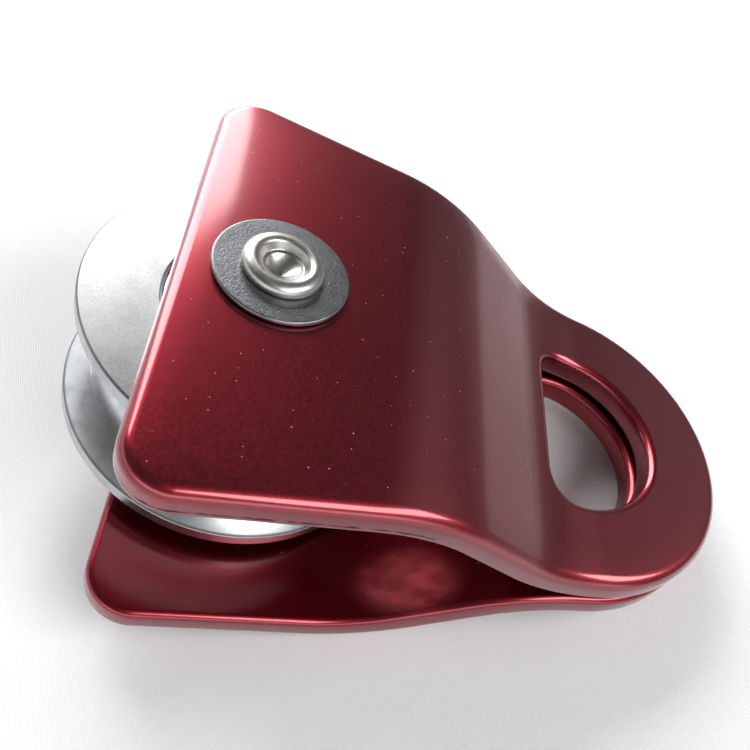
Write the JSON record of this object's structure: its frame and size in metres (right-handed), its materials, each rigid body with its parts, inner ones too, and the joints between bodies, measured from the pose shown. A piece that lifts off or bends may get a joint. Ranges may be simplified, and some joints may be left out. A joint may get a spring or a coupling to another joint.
{
  "type": "rope pulley",
  "caption": "Swing-side rope pulley: grooved sheave on sealed ball bearings between two bent side plates that close to one D-shaped eye.",
  "frame": {"origin": "below the middle of the pulley's length and width, level with the lowest point of the lower rivet head", "axes": "+X from the axle to the eye, along the length; +Z along the axle, from the lower plate to the upper plate; +Y across"},
  "size_m": [0.109, 0.0776, 0.0441],
  "materials": {
    "anodised_plate": "satin red anodised",
    "machined_aluminium": "fine blasted and turned, bare",
    "stainless_axle": "orbital riveted, semi bright",
    "washer_steel": "fine blasted grey",
    "bearing_steel": "ground bright",
    "seal_rubber": "moulded matt",
    "cage_nylon": "moulded"
  },
  "bodies": {
    "axle_set": {"axle": "stainless_axle", "bearing_sleeve": "stainless_axle", "upper_spacer": "stainless_axle", "upper_washer": "washer_steel", "upper_bearing_inner_ring": "bearing_steel", "lower_spacer": "stainless_axle", "lower_washer": "washer_steel", "lower_bearing_inner_ring": "bearing_steel"},
    "sheave_set": {"sheave": "machined_aluminium", "upper_bearing_outer_ring": "bearing_steel", "upper_bearing_outer_seal": "seal_rubber", "upper_bearing_inner_seal": "seal_rubber", "lower_bearing_outer_ring": "bearing_steel", "lower_bearing_outer_seal": "seal_rubber", "lower_bearing_inner_seal": "seal_rubber"},
    "ball_train": {"upper_bearing_cage": "cage_nylon", "lower_bearing_cage": "cage_nylon", "upper_ball_1": "bearing_steel", "upper_ball_2": "bearing_steel", "upper_ball_3": "bearing_steel", "upper_ball_4": "bearing_steel", "upper_ball_5": "bearing_steel", "upper_ball_6": "bearing_steel", "upper_ball_7": "bearing_steel", "upper_ball_8": "bearing_steel", "lower_ball_1": "bearing_steel", "lower_ball_2": "bearing_steel", "lower_ball_3": "bearing_steel", "lower_ball_4": "bearing_steel", "lower_ball_5": "bearing_steel", "lower_ball_6": "bearing_steel", "lower_ball_7": "bearing_steel", "lower_ball_8": "bearing_steel"},
    "upper_plate": {"upper_side_plate": "anodised_plate"},
    "lower_plate": {"lower_side_plate": "anodised_plate"}
  },
  "joints": [
    {"name": "sheave_spin", "type": "hinge", "parent": "axle_set", "child": "sheave_set", "pos_m": [-0.02785, 0, 0.02203], "axis": [0, 0, 1], "continuous": true},
    {"name": "ball_orbit", "type": "hinge", "parent": "axle_set", "child": "ball_train", "pos_m": [-0.02785, 0, 0.02203], "axis": [0, 0, 1], "continuous": true},
    {"name": "upper_plate_swing", "type": "hinge", "parent": "axle_set", "child": "upper_plate", "pos_m": [-0.02785, 0, 0.02203], "axis": [0, 0, 1], "range_deg": [-180, 180]},
    {"name": "lower_plate_swing", "type": "hinge", "parent": "axle_set", "child": "lower_plate", "pos_m": [-0.02785, 0, 0.02203], "axis": [0, 0, 1], "range_deg": [-180, 180]}
  ],
  "couplings": [
    {"joint": "ball_orbit", "follows": "sheave_spin", "ratio": 0.61905}
  ]
}
